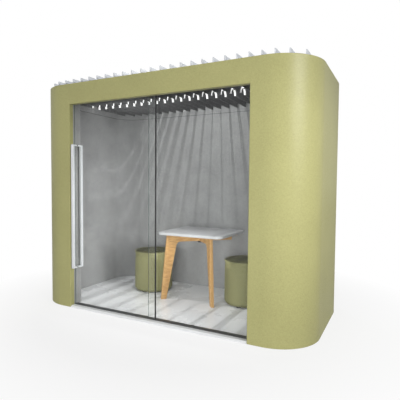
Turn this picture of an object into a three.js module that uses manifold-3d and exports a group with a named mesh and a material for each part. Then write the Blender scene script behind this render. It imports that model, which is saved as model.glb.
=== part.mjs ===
// Acoustic office pod: fabric-clad walls with round corners, a glazed sliding front,
// a roof of upright boards, a table on two leg frames and two drum stools.
// Millimetres, +Z up, +X to the right along the front, +Y to the back.
// The origin is on the ground under the middle of the pod.

import * as THREE from 'three';
import { mergeVertices } from 'three/addons/utils/BufferGeometryUtils.js';
import Module from 'manifold-3d';

const wasm = await Module();
wasm.setup();

// Overall size
const WIDTH = 2890;
const DEPTH = 1478;
const WALL_HEIGHT = 2250;
const CORNER_RADIUS = 380;

// Wall build-up, from the outside in
const CLADDING = 18;
const CORE = 110;
const LINING = 22;
const WALL = CLADDING + CORE + LINING;
const SEAT_GAP = 0.3;
const SKIN_LIFT = 3;
const BACK_RETURN = 60;
const SEAM_DROP = 170;
const SEAM_WIDTH = 4;
const SEAM_DEPTH = 3;

// Front opening
const OPENING = 1898;
const HEADER_HEIGHT = 202;
const REVEAL_DEPTH = 48;
const HEADER_WEB = 70;
const HEADER_LEG = 28;
const HEADER_LEG_LIFT = 34;

// Floor
const FLOOR_TOP = 20;
const THRESHOLD_TOP = 20;
const THRESHOLD_BEVEL = 12;

// Glazing, measured back from the front face
const GLASS = 10;
const DOOR_PLANE = 65;
const FIXED_PLANE = 93;
const DOOR_WIDTH = 985;
const DOOR_BOTTOM = 12;
const DOOR_COVER = 52;
const DOOR_JAMB_GAP = 4;
const PANE_OVERLAP = 95;
const FIXED_TOP_GAP = 5;
const FIXED_JAMB_GAP = 2;

// Tracks
const TRACK_FRONT = 50;
const TRACK_BACK = 106;
const TRACK_TOP = 24;
const GROOVE_FLOOR = 8;
const DOOR_SLOT = 14;
const FIXED_SLOT = 12;
const HEAD_TRACK_HEIGHT = 52;
const HEAD_TRACK_FRONT = 46;
const TRACK_SKIN = 3;
const CHAMBER = 32;
const FIXED_GROOVE = 42;

// Hangers and wheels
const WHEEL_RADIUS = 12;
const WHEEL_WIDTH = 7;
const WHEEL_SPAN = 30;
const AXLE_RADIUS = 3;
const AXLE_CLEARANCE = 0.1;
const HANGER_LENGTH = 60;
const HANGER_GRIP = 40;
const HANGER_CHEEK = 6;
const HANGER_BRIDGE = 8;
const STEM_WIDTH = 8;
const STEM_LENGTH = 20;
const HANGER_INSET = 140;

// Pull handles
const HANDLE_BAR = 26;
const HANDLE_BOTTOM = 400;
const HANDLE_TOP = 1650;
const OUTER_STAND_OFF = 33;
const INNER_STAND_OFF = 45;
const HANDLE_EDGE = 24;
const HANDLE_POST = 14;

// Roof boards
const BAFFLE_COUNT = 27;
const BAFFLE_PITCH = 103;
const BAFFLE_THICKNESS = 10;
const BAFFLE_DROP = 110;
const BAFFLE_RISE = 50;
const EAR_INSET = 30;
const BAFFLE_CLEARANCE = 2;
const ARCH_WIDTH = 110;
const ARCH_HEIGHT = 60;

// Light rail
const RAIL_Y = -39;
const RAIL_WIDTH = 16;
const RAIL_LIFT = 44;
const RAIL_HEIGHT = 8;
const LED_WIDTH = 12;
const LED_HEIGHT = 3;

// Table
const TABLE_X = 45;
const TABLE_WIDTH = 764;
const TABLE_DEPTH = 690;
const TABLE_TOP = 740;
const TABLE_THICKNESS = 28;
const TABLE_CORNER = 70;
const TABLE_BEVEL = 5;
const LEG_SPREAD = 290;
const LEG_SETBACK = 8;
const LEG_BOARD = 30;
const LEG_FOOT = 58;
const LEG_SPLAY = 62;
const LEG_KNEE = 112;
const BEAM_DEPTH = 75;
const BEAM_REACH = 264;
const KNEE_RADIUS = 45;
const HALVING_CLEARANCE = 0.5;
const HUB_SIZE = 44;
const HUB_THICKNESS = 15;
const HUB_CORNER = 10;
const CLEAT_LENGTH = 560;
const CLEAT_DEPTH = 24;
const CLEAT_HEIGHT = 40;

// Stools
const STOOL_SPREAD = 578;
const STOOL_Y = 211;
const STOOL_RADIUS = 225;
const STOOL_TOP = 490;
const STOOL_CROWN = 8;
const STOOL_EDGE = 14;
const STOOL_FOOT_EDGE = 16;
const STOOL_WALL = 25;
const STOOL_SEAT = 60;
const PIPING_DROP = 26;
const PIPING_DEPTH = 4;
const BASE_INSET = 18;
const BASE_PLATE = 8;
const GLIDE_HEIGHT = 12;
const GLIDE_RADIUS = 24;
const GLIDE_INSET = 26;

const ARC_STEPS = 10;

// Heights that follow from the wall height
const openingTop = WALL_HEIGHT - HEADER_HEIGHT;
const doorTop = openingTop + DOOR_COVER;
const headTrackTop = WALL_HEIGHT - HEADER_WEB - SEAT_GAP;
const headTrackBottom = headTrackTop - HEAD_TRACK_HEIGHT;
const fixedGrooveTop = headTrackBottom + FIXED_GROOVE;
const seamHeight = WALL_HEIGHT - SEAM_DROP;
const baffleBottom = WALL_HEIGHT - BAFFLE_DROP;
const baffleTop = WALL_HEIGHT + BAFFLE_RISE;
const archTop = baffleBottom + ARCH_HEIGHT;
const railBottom = baffleBottom + RAIL_LIFT;

const front = (distance) => distance - DEPTH / 2;

const finish = (color, roughness, metalness = 0) =>
  new THREE.MeshStandardMaterial({ color, roughness, metalness });
const green = finish(0xa7a66e, 0.95);
const felt = finish(0x8e8f90, 0.95);
const coreFill = finish(0xb9a37c, 0.9);
const boardWhite = finish(0xd8dde2, 0.85);
const laminate = finish(0xdcdcdc, 0.45);
const white = finish(0xe8e8e8, 0.4);
const darkMetal = finish(0x5a5c5e, 0.5, 0.6);
const steel = finish(0xb0b2b4, 0.35, 0.9);
const nylon = finish(0xe4e2da, 0.6);
const oak = finish(0xd6aa69, 0.6);
const black = finish(0x1c1c1c, 0.6);
const opal = finish(0xffffff, 0.5);
const glass = new THREE.MeshStandardMaterial({
  color: 0xdfe8e6, roughness: 0.05, transparent: true, opacity: 0.3,
});

const pod = new THREE.Group();

function addPiece(name, geometry, material) {
  const mesh = new THREE.Mesh(geometry, material);
  mesh.name = name;
  pod.add(mesh);
}

// Joins and cuts of closed geometries
function toSolid(geometry) {
  const bare = geometry.clone();
  bare.deleteAttribute('normal');
  bare.deleteAttribute('uv');
  const merged = mergeVertices(bare, 1e-4);
  return new wasm.Manifold(new wasm.Mesh({
    numProp: 3,
    vertProperties: new Float32Array(merged.attributes.position.array),
    triVerts: new Uint32Array(merged.index.array),
  }));
}

function toGeometry(solid) {
  const mesh = solid.getMesh();
  const geometry = new THREE.BufferGeometry();
  geometry.setAttribute('position', new THREE.BufferAttribute(mesh.vertProperties, 3));
  geometry.setIndex(new THREE.BufferAttribute(mesh.triVerts, 1));
  geometry.computeVertexNormals();
  return geometry;
}

// Extrusions: a plan outline raised from one height to another, and a section in the
// Y-Z plane drawn out along X
const shapeOf = (points) => new THREE.Shape(points.map(([u, v]) => new THREE.Vector2(u, v)));

function raise(shape, bottom, top) {
  const geometry = new THREE.ExtrudeGeometry(shape, {
    depth: top - bottom, bevelEnabled: false, curveSegments: ARC_STEPS,
  });
  return geometry.translate(0, 0, bottom);
}

const sectionBasis = new THREE.Matrix4().makeBasis(
  new THREE.Vector3(0, 1, 0), new THREE.Vector3(0, 0, 1), new THREE.Vector3(1, 0, 0));

function drawAlongX(shape, left, right) {
  const geometry = new THREE.ExtrudeGeometry(shape, {
    depth: right - left, bevelEnabled: false, curveSegments: ARC_STEPS,
  });
  return geometry.applyMatrix4(sectionBasis).translate(left, 0, 0);
}

function block(low, high) {
  const size = high.map((value, axis) => value - low[axis]);
  return new THREE.BoxGeometry(...size)
    .translate(...high.map((value, axis) => (value + low[axis]) / 2));
}

// Plan of the pod: the outer outline moved inwards by a distance, which keeps its corners round.
// The half on the left is walked from the front jamb round to a point on the back.
const halfWidth = (inset) => WIDTH / 2 - inset;
const halfDepth = (inset) => DEPTH / 2 - inset;

function arcPoints(centreX, centreY, radius, from, to) {
  return Array.from({ length: ARC_STEPS + 1 }, (_, step) => {
    const angle = from + (to - from) * step / ARC_STEPS;
    return [centreX + radius * Math.cos(angle), centreY + radius * Math.sin(angle)];
  });
}

function leftWalk(inset, jambX, backX) {
  const radius = CORNER_RADIUS - inset;
  const cornerX = halfWidth(inset) - radius;
  const cornerY = halfDepth(inset) - radius;
  return [
    [-jambX, -halfDepth(inset)],
    ...arcPoints(-cornerX, -cornerY, radius, 1.5 * Math.PI, Math.PI),
    ...arcPoints(-cornerX, cornerY, radius, Math.PI, 0.5 * Math.PI),
    [-backX, halfDepth(inset)],
  ];
}

const mirrored = (points) => points.map(([x, y]) => [-x, y]).reverse();

// Depth of the plan at a given distance from the middle, on the outline at an inset
function reachAt(x, inset) {
  const radius = CORNER_RADIUS - inset;
  const past = Math.abs(x) - (halfWidth(inset) - radius);
  if (past <= 0) return halfDepth(inset);
  if (past >= radius) return 0;
  return halfDepth(inset) - radius + Math.sqrt(radius * radius - past * past);
}

// Walls: a core between a fabric cladding outside and a felt lining inside. Cladding and
// lining also turn into the front opening and cover the end of the core.
const jamb = OPENING / 2;
const jambCore = jamb + CLADDING + SEAT_GAP;
const backSplit = WIDTH / 2 - CORNER_RADIUS - BACK_RETURN;

function coreOutline() {
  const outer = leftWalk(CLADDING + SEAT_GAP, jambCore, backSplit + SEAT_GAP / 2);
  const inner = leftWalk(WALL - LINING - SEAT_GAP, jambCore, backSplit + SEAT_GAP / 2);
  return [...outer, ...inner.reverse()];
}

function claddingOutline() {
  const outer = leftWalk(0, jamb, SEAT_GAP / 2);
  const inner = leftWalk(CLADDING, jamb + CLADDING, SEAT_GAP / 2);
  return [
    [-jamb, front(REVEAL_DEPTH)], ...outer,
    ...inner.reverse(), [-jamb - CLADDING, front(REVEAL_DEPTH)],
  ];
}

function liningOutline() {
  const inner = leftWalk(WALL, jamb, backSplit + SEAT_GAP / 2);
  const outer = leftWalk(WALL - LINING, jamb + CLADDING, backSplit + SEAT_GAP / 2);
  return [
    [-jamb, front(REVEAL_DEPTH + SEAT_GAP)], ...inner,
    ...outer.reverse(), [-jamb - CLADDING, front(REVEAL_DEPTH + SEAT_GAP)],
  ];
}

// Shadow seam that runs round the lining under the roof boards
function seamCut(points) {
  return raise(shapeOf(points), seamHeight - SEAM_WIDTH / 2, seamHeight + SEAM_WIDTH / 2);
}

function sideSeam() {
  const inner = leftWalk(WALL + SEAM_DEPTH, jamb - SEAM_DEPTH, backSplit - SEAM_DEPTH);
  const outer = leftWalk(WALL - SEAM_DEPTH, jamb - SEAM_DEPTH, backSplit - SEAM_DEPTH);
  return [...outer, ...inner.reverse()];
}

function addSideWall(side, turn) {
  addPiece(`${side}_wall_core`, raise(shapeOf(turn(coreOutline())), 0, WALL_HEIGHT), coreFill);
  addPiece(`${side}_cladding`, raise(shapeOf(turn(claddingOutline())), SKIN_LIFT, WALL_HEIGHT), green);
  const panel = toSolid(raise(shapeOf(turn(liningOutline())), SKIN_LIFT, WALL_HEIGHT));
  const seam = toSolid(seamCut(turn(sideSeam())));
  addPiece(`${side}_lining`, toGeometry(panel.subtract(seam)), felt);
}

function addBackWall() {
  const half = backSplit - SEAT_GAP / 2;
  const outer = halfDepth(CLADDING + SEAT_GAP);
  const inner = halfDepth(WALL - LINING - SEAT_GAP);
  addPiece('back_wall_core', block([-half, inner, 0], [half, outer, WALL_HEIGHT]), coreFill);
  const face = halfDepth(WALL);
  const panel = block([-half, face, SKIN_LIFT], [half, face + LINING, WALL_HEIGHT]);
  const seam = block(
    [-half - SEAM_DEPTH, face - SEAM_DEPTH, seamHeight - SEAM_WIDTH / 2],
    [half + SEAM_DEPTH, face + SEAM_DEPTH, seamHeight + SEAM_WIDTH / 2]);
  addPiece('back_lining', toGeometry(toSolid(panel).subtract(toSolid(seam))), felt);
}

// Header over the doors: a fabric front with a turned-in lower edge, and an angle-shaped beam
// that carries the top track under its web
function addHeader() {
  const end = jamb - SEAT_GAP;
  const skin = [
    [front(0), openingTop], [front(REVEAL_DEPTH), openingTop],
    [front(REVEAL_DEPTH), openingTop + CLADDING], [front(CLADDING), openingTop + CLADDING],
    [front(CLADDING), WALL_HEIGHT], [front(0), WALL_HEIGHT],
  ];
  addPiece('header_cladding', drawAlongX(shapeOf(skin), -end, end), green);
  const webBottom = WALL_HEIGHT - HEADER_WEB;
  const legBottom = openingTop + HEADER_LEG_LIFT;
  const beam = [
    [front(CLADDING + SEAT_GAP), webBottom], [front(WALL - HEADER_LEG), webBottom],
    [front(WALL - HEADER_LEG), legBottom], [front(WALL), legBottom],
    [front(WALL), WALL_HEIGHT], [front(CLADDING + SEAT_GAP), WALL_HEIGHT],
  ];
  addPiece('header_beam', drawAlongX(shapeOf(beam), -end, end), felt);
}

// Floor: a deck inside the lining, with a tongue that runs forward to the bottom track,
// and a bevelled threshold in front of the track
function addFloor() {
  const tongue = jamb - SEAT_GAP;
  const left = leftWalk(WALL + SEAT_GAP, tongue, 0).slice(0, -1);
  const outline = [
    [-tongue, front(TRACK_BACK + SEAT_GAP)], ...left,
    ...mirrored(left), [tongue, front(TRACK_BACK + SEAT_GAP)],
  ];
  addPiece('floor_deck', raise(shapeOf(outline), 0, FLOOR_TOP), laminate);
  const strip = [
    [front(0), 0], [front(TRACK_FRONT - SEAT_GAP), 0],
    [front(TRACK_FRONT - SEAT_GAP), THRESHOLD_TOP], [front(THRESHOLD_BEVEL), THRESHOLD_TOP],
    [front(0), THRESHOLD_TOP - THRESHOLD_BEVEL],
  ];
  addPiece('threshold', drawAlongX(shapeOf(strip), -tongue, tongue), white);
}

// Tracks: two grooves in the bottom one; a wheel chamber with lips and a plain groove in the top one
function addTracks() {
  const end = jamb - SEAT_GAP;
  const doorSlot = [DOOR_PLANE - DOOR_SLOT / 2, DOOR_PLANE + DOOR_SLOT / 2].map(front);
  const fixedSlot = [FIXED_PLANE - FIXED_SLOT / 2, FIXED_PLANE + FIXED_SLOT / 2].map(front);
  const sill = [
    [front(TRACK_FRONT), 0], [front(TRACK_BACK), 0], [front(TRACK_BACK), TRACK_TOP],
    [fixedSlot[1], TRACK_TOP], [fixedSlot[1], GROOVE_FLOOR],
    [fixedSlot[0], GROOVE_FLOOR], [fixedSlot[0], TRACK_TOP],
    [doorSlot[1], TRACK_TOP], [doorSlot[1], GROOVE_FLOOR],
    [doorSlot[0], GROOVE_FLOOR], [doorSlot[0], TRACK_TOP], [front(TRACK_FRONT), TRACK_TOP],
  ];
  addPiece('bottom_track', drawAlongX(shapeOf(sill), -end, end), darkMetal);
  const lip = headTrackBottom + TRACK_SKIN;
  const chamber = [DOOR_PLANE - CHAMBER / 2, DOOR_PLANE + CHAMBER / 2].map(front);
  const head = [
    [front(HEAD_TRACK_FRONT), headTrackBottom], [doorSlot[0], headTrackBottom],
    [doorSlot[0], lip], [chamber[0], lip],
    [chamber[0], headTrackTop - TRACK_SKIN], [chamber[1], headTrackTop - TRACK_SKIN],
    [chamber[1], lip], [doorSlot[1], lip],
    [doorSlot[1], headTrackBottom], [fixedSlot[0], headTrackBottom],
    [fixedSlot[0], fixedGrooveTop], [fixedSlot[1], fixedGrooveTop],
    [fixedSlot[1], headTrackBottom], [front(TRACK_BACK), headTrackBottom],
    [front(TRACK_BACK), headTrackTop], [front(HEAD_TRACK_FRONT), headTrackTop],
  ];
  addPiece('top_track', drawAlongX(shapeOf(head), -end, end), darkMetal);
}

// Glazing: the sliding pane hangs in front, the fixed pane stands behind it
const doorLeft = -jamb + DOOR_JAMB_GAP;
const doorRight = doorLeft + DOOR_WIDTH;

function addGlazing() {
  addPiece('sliding_glass', block(
    [doorLeft, front(DOOR_PLANE - GLASS / 2), DOOR_BOTTOM],
    [doorRight, front(DOOR_PLANE + GLASS / 2), doorTop]), glass);
  addPiece('fixed_glass', block(
    [doorRight - PANE_OVERLAP, front(FIXED_PLANE - GLASS / 2), GROOVE_FLOOR + SEAT_GAP],
    [jamb - FIXED_JAMB_GAP, front(FIXED_PLANE + GLASS / 2), fixedGrooveTop - FIXED_TOP_GAP]), glass);
}

// Pull handles: a square bar with a post at each end, one on each face of the sliding pane
function addHandle(name, facing, standOff) {
  const glassFace = DOOR_PLANE + facing * (GLASS / 2 + SEAT_GAP);
  const inside = glassFace + facing * standOff;
  const outside = inside + facing * HANDLE_BAR;
  const low = HANDLE_BOTTOM + HANDLE_POST;
  const high = HANDLE_TOP - HANDLE_POST;
  const outline = [
    [outside, HANDLE_BOTTOM], [outside, HANDLE_TOP], [glassFace, HANDLE_TOP], [glassFace, high],
    [inside, high], [inside, low], [glassFace, low], [glassFace, HANDLE_BOTTOM],
  ].map(([distance, z]) => [front(distance), z]);
  const middle = doorLeft + HANDLE_EDGE;
  const bar = drawAlongX(shapeOf(outline), middle - HANDLE_BAR / 2, middle + HANDLE_BAR / 2);
  addPiece(name, bar, white);
}

// Hangers: a clamp over the top edge of the sliding pane and a stem bored for the wheel axle
const axleHeight = headTrackBottom + TRACK_SKIN + WHEEL_RADIUS + SEAT_GAP;

function addHanger(side, x) {
  const inner = GLASS / 2 + SEAT_GAP;
  const outer = inner + HANGER_CHEEK;
  const hangerBottom = doorTop - HANGER_GRIP;
  const bridge = doorTop + SEAT_GAP;
  const clampTop = bridge + HANGER_BRIDGE;
  const plane = front(DOOR_PLANE);
  const clamp = [
    [plane - outer, hangerBottom], [plane - inner, hangerBottom], [plane - inner, bridge],
    [plane + inner, bridge], [plane + inner, hangerBottom], [plane + outer, hangerBottom],
    [plane + outer, clampTop], [plane - outer, clampTop],
  ];
  const body = drawAlongX(shapeOf(clamp), x - HANGER_LENGTH / 2, x + HANGER_LENGTH / 2);
  const stem = block(
    [x - STEM_LENGTH / 2, plane - STEM_WIDTH / 2, clampTop - HANGER_BRIDGE / 2],
    [x + STEM_LENGTH / 2, plane + STEM_WIDTH / 2, axleHeight + STEM_LENGTH / 2]);
  const bore = new THREE.CylinderGeometry(
    AXLE_RADIUS + AXLE_CLEARANCE, AXLE_RADIUS + AXLE_CLEARANCE, 2 * STEM_WIDTH, 24);
  bore.translate(x, plane, axleHeight);
  const hanger = toSolid(body).add(toSolid(stem)).subtract(toSolid(bore));
  addPiece(`${side}_hanger`, toGeometry(hanger), steel);
}

function addWheelset(side, x) {
  const end = WHEEL_SPAN / 2;
  const shoulder = end - WHEEL_WIDTH;
  const profile = [
    [0, -end], [WHEEL_RADIUS, -end], [WHEEL_RADIUS, -shoulder], [AXLE_RADIUS, -shoulder],
    [AXLE_RADIUS, shoulder], [WHEEL_RADIUS, shoulder], [WHEEL_RADIUS, end], [0, end],
  ].map(([radius, along]) => new THREE.Vector2(radius, along));
  const wheels = new THREE.LatheGeometry(profile, 24);
  wheels.translate(x, front(DOOR_PLANE), axleHeight);
  addPiece(`${side}_wheelset`, wheels, nylon);
}

// Roof boards: each hangs between the walls and rests on their tops with an ear at each end.
// An arch in the lower edge lets the light rail through.
const boardReach = (x, inset) => reachAt(Math.abs(x) + BAFFLE_THICKNESS / 2, inset);

function baffleOutline(x) {
  const ear = boardReach(x, EAR_INSET);
  const seat = WALL_HEIGHT + SEAT_GAP;
  const drop = boardReach(x, WALL + BAFFLE_CLEARANCE);
  const top = [[ear, baffleTop], [-ear, baffleTop]];
  if (drop <= ARCH_WIDTH) return [[-ear, seat], [ear, seat], ...top];
  const half = ARCH_WIDTH / 2;
  const spring = archTop - half;
  const arch = arcPoints(RAIL_Y, spring, half, Math.PI, 0);
  return [
    [-ear, seat], [-drop, seat], [-drop, baffleBottom], [RAIL_Y - half, baffleBottom],
    ...arch, [RAIL_Y + half, baffleBottom], [drop, baffleBottom], [drop, seat], [ear, seat],
    ...top,
  ];
}

function addBaffles() {
  for (let index = 0; index < BAFFLE_COUNT; index += 1) {
    const x = (index - (BAFFLE_COUNT - 1) / 2) * BAFFLE_PITCH;
    const board = drawAlongX(
      shapeOf(baffleOutline(x)), x - BAFFLE_THICKNESS / 2, x + BAFFLE_THICKNESS / 2);
    addPiece(`baffle_${String(index + 1).padStart(2, '0')}`, board, boardWhite);
  }
}

// Light rail across the pod through the arches, with a light strip on its top face
function addLight() {
  const end = halfWidth(WALL) - SEAT_GAP;
  const top = railBottom + RAIL_HEIGHT;
  addPiece('light_rail', block(
    [-end, RAIL_Y - RAIL_WIDTH / 2, railBottom], [end, RAIL_Y + RAIL_WIDTH / 2, top]), darkMetal);
  addPiece('led_strip', block(
    [-end, RAIL_Y - LED_WIDTH / 2, top + SEAT_GAP],
    [end, RAIL_Y + LED_WIDTH / 2, top + SEAT_GAP + LED_HEIGHT]), opal);
}

// Table: the back edge sits on a wall cleat, the front on two legs whose beams cross under the top
const tableBack = halfDepth(WALL) - SEAT_GAP;
const tableFront = tableBack - TABLE_DEPTH;
const tableUnder = TABLE_TOP - TABLE_THICKNESS;
const beamTop = tableUnder - SEAT_GAP;
const beamBottom = beamTop - BEAM_DEPTH;

function roundedRectangle(left, right, low, high, radius) {
  return [
    ...arcPoints(left + radius, low + radius, radius, Math.PI, 1.5 * Math.PI),
    ...arcPoints(right - radius, low + radius, radius, 1.5 * Math.PI, 2 * Math.PI),
    ...arcPoints(right - radius, high - radius, radius, 0, 0.5 * Math.PI),
    ...arcPoints(left + radius, high - radius, radius, 0.5 * Math.PI, Math.PI),
  ];
}

function addTableTop() {
  const half = TABLE_WIDTH / 2 - TABLE_BEVEL;
  const plan = roundedRectangle(
    TABLE_X - half, TABLE_X + half, tableFront + TABLE_BEVEL, tableBack - TABLE_BEVEL,
    TABLE_CORNER - TABLE_BEVEL);
  const slab = new THREE.ExtrudeGeometry(shapeOf(plan), {
    depth: TABLE_THICKNESS - 2 * TABLE_BEVEL, bevelEnabled: true,
    bevelThickness: TABLE_BEVEL, bevelSize: TABLE_BEVEL, bevelSegments: 2,
  });
  slab.translate(0, 0, tableUnder + TABLE_BEVEL);
  addPiece('table_top', slab, white);
}

// A leg frame lies in one upright diagonal plane. Its outline runs from the foot along the plane.
// One frame is halved from above at the crossing and the other from below.
const crossing = LEG_SPREAD * Math.SQRT2;

function legOutline(halvedAbove) {
  const half = LEG_FOOT / 2;
  const foot = FLOOR_TOP + SEAT_GAP;
  const end = (LEG_SPREAD + BEAM_REACH) * Math.SQRT2;
  const middle = (beamTop + beamBottom) / 2;
  const slot = LEG_BOARD / 2 + HALVING_CLEARANCE;
  const notchAbove = [
    [crossing + slot, beamTop], [crossing + slot, middle - HALVING_CLEARANCE],
    [crossing - slot, middle - HALVING_CLEARANCE], [crossing - slot, beamTop],
  ];
  const notchBelow = [
    [crossing - slot, beamBottom], [crossing - slot, middle + HALVING_CLEARANCE],
    [crossing + slot, middle + HALVING_CLEARANCE], [crossing + slot, beamBottom],
  ];
  const shoulder = LEG_SPLAY - half;
  const knee = shoulder + LEG_KNEE;
  const lean = (knee - half) / (beamBottom - foot);
  const kneeCurve = new THREE.QuadraticBezierCurve(
    new THREE.Vector2(knee - lean * KNEE_RADIUS, beamBottom - KNEE_RADIUS),
    new THREE.Vector2(knee, beamBottom),
    new THREE.Vector2(knee + KNEE_RADIUS, beamBottom));
  return [
    [-half, foot], [half, foot],
    ...kneeCurve.getPoints(6).map((point) => [point.x, point.y]),
    ...(halvedAbove ? [] : notchBelow),
    [end, beamBottom], [end, beamTop],
    ...(halvedAbove ? notchAbove : []),
    [shoulder, beamTop],
  ];
}

function addLegFrame(side, direction) {
  const board = new THREE.ExtrudeGeometry(shapeOf(legOutline(direction > 0)), {
    depth: LEG_BOARD, bevelEnabled: false,
  });
  board.translate(0, 0, -LEG_BOARD / 2);
  const along = new THREE.Vector3(direction, 1, 0).normalize();
  const up = new THREE.Vector3(0, 0, 1);
  board.applyMatrix4(new THREE.Matrix4().makeBasis(along, up, along.clone().cross(up)));
  board.translate(TABLE_X - direction * LEG_SPREAD, tableFront + LEG_SETBACK, 0);
  addPiece(`${side}_leg_frame`, board, oak);
}

function addTableFixings() {
  const half = HUB_SIZE / 2;
  const hubY = tableFront + LEG_SETBACK + LEG_SPREAD;
  const plan = roundedRectangle(
    TABLE_X - half, TABLE_X + half, hubY - half, hubY + half, HUB_CORNER);
  const hubTop = beamBottom - SEAT_GAP;
  addPiece('table_hub', raise(shapeOf(plan), hubTop - HUB_THICKNESS, hubTop), black);
  addPiece('table_cleat', block(
    [TABLE_X - CLEAT_LENGTH / 2, tableBack - CLEAT_DEPTH, tableUnder - SEAT_GAP - CLEAT_HEIGHT],
    [TABLE_X + CLEAT_LENGTH / 2, tableBack, tableUnder - SEAT_GAP]), oak);
}

// Stools: an upholstered drum, open below, over a black base plate with four glides
function stoolProfile() {
  const base = FLOOR_TOP + SEAT_GAP + GLIDE_HEIGHT + BASE_PLATE + SEAT_GAP;
  const rim = STOOL_TOP - STOOL_CROWN;
  const edge = STOOL_RADIUS - STOOL_EDGE;
  const inner = STOOL_RADIUS - STOOL_WALL;
  const seam = STOOL_TOP - PIPING_DROP;
  const turned = STOOL_FOOT_EDGE * (1 - Math.SQRT1_2);
  const points = [
    [0, STOOL_TOP], [edge / 2, STOOL_TOP - STOOL_CROWN / 4], [edge, rim],
    [STOOL_RADIUS - STOOL_EDGE / 4, rim - STOOL_EDGE / 4], [STOOL_RADIUS, rim - STOOL_EDGE],
    [STOOL_RADIUS, seam + PIPING_DEPTH], [STOOL_RADIUS - PIPING_DEPTH, seam],
    [STOOL_RADIUS, seam - PIPING_DEPTH], [STOOL_RADIUS, base + STOOL_FOOT_EDGE],
    [STOOL_RADIUS - turned, base + turned], [STOOL_RADIUS - STOOL_FOOT_EDGE, base],
    [inner, base], [inner, STOOL_TOP - STOOL_SEAT], [0, STOOL_TOP - STOOL_SEAT],
  ];
  return points.reverse().map(([radius, z]) => new THREE.Vector2(radius, z));
}

const upright = new THREE.Matrix4().makeRotationX(Math.PI / 2);

function addStool(side, x) {
  const drum = new THREE.LatheGeometry(stoolProfile(), 40).applyMatrix4(upright);
  addPiece(`${side}_stool_drum`, drum.translate(x, STOOL_Y, 0), green);
  const plateRadius = STOOL_RADIUS - BASE_INSET;
  const glideBottom = FLOOR_TOP + SEAT_GAP;
  const plateBottom = glideBottom + GLIDE_HEIGHT;
  const plate = new THREE.CylinderGeometry(plateRadius, plateRadius, BASE_PLATE, 40)
    .applyMatrix4(upright).translate(x, STOOL_Y, plateBottom + BASE_PLATE / 2);
  let base = toSolid(plate);
  for (let corner = 0; corner < 4; corner += 1) {
    const angle = corner * Math.PI / 2;
    const reach = plateRadius - GLIDE_INSET;
    const height = GLIDE_HEIGHT + BASE_PLATE / 2;
    const glide = new THREE.CylinderGeometry(GLIDE_RADIUS, GLIDE_RADIUS, height, 16)
      .applyMatrix4(upright)
      .translate(
        x + reach * Math.cos(angle), STOOL_Y + reach * Math.sin(angle), glideBottom + height / 2);
    base = base.add(toSolid(glide));
  }
  addPiece(`${side}_stool_base`, toGeometry(base), black);
}

addFloor();
addSideWall('left', (points) => points);
addSideWall('right', mirrored);
addBackWall();
addHeader();
addTracks();
addGlazing();
addHandle('outer_handle', -1, OUTER_STAND_OFF);
addHandle('inner_handle', 1, INNER_STAND_OFF);
for (const [side, x] of [['left', doorLeft + HANGER_INSET], ['right', doorRight - HANGER_INSET]]) {
  addHanger(side, x);
  addWheelset(side, x);
}
addBaffles();
addLight();
addTableTop();
addLegFrame('left', 1);
addLegFrame('right', -1);
addTableFixings();
addStool('left', -STOOL_SPREAD);
addStool('right', STOOL_SPREAD);

export default pod;
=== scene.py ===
import math

import bmesh
import bpy
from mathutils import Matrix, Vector


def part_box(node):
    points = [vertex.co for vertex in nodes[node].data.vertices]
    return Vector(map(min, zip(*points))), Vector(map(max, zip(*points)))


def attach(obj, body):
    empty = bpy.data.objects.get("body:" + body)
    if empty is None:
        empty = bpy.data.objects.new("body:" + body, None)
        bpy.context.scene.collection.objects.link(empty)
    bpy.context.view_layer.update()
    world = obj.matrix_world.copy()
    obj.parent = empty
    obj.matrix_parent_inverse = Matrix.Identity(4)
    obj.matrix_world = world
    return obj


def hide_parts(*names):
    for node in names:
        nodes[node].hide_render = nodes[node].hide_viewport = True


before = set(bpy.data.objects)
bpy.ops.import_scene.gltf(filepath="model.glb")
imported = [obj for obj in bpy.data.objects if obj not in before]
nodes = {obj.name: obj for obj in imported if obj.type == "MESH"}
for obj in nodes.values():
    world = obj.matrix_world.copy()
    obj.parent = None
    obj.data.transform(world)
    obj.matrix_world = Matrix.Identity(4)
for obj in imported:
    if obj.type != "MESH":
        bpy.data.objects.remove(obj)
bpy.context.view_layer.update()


# The floor deck is a board faced with pale satin laminate, cut to the inside of the walls.
# It lies on the ground between the wall feet. Shoes and stool glides have dulled it in patches.
def add_node(tree, kind, inputs=None, **settings):
    node = tree.nodes.new(kind)
    for name, value in settings.items():
        setattr(node, name, value)
    for name, value in (inputs or {}).items():
        if isinstance(value, bpy.types.NodeSocket):
            tree.links.new(value, node.inputs[name])
        else:
            node.inputs[name].default_value = value
    return node


def new_group(name, inputs, outputs):
    group = bpy.data.node_groups.new(name, "ShaderNodeTree")
    for label in inputs:
        kind = "NodeSocketVector" if label == "Vector" else "NodeSocketFloat"
        group.interface.new_socket(label, in_out="INPUT", socket_type=kind)
    for label in outputs:
        group.interface.new_socket(label, in_out="OUTPUT", socket_type="NodeSocketFloat")
    return group, group.nodes.new("NodeGroupInput").outputs, group.nodes.new("NodeGroupOutput").inputs


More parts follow.
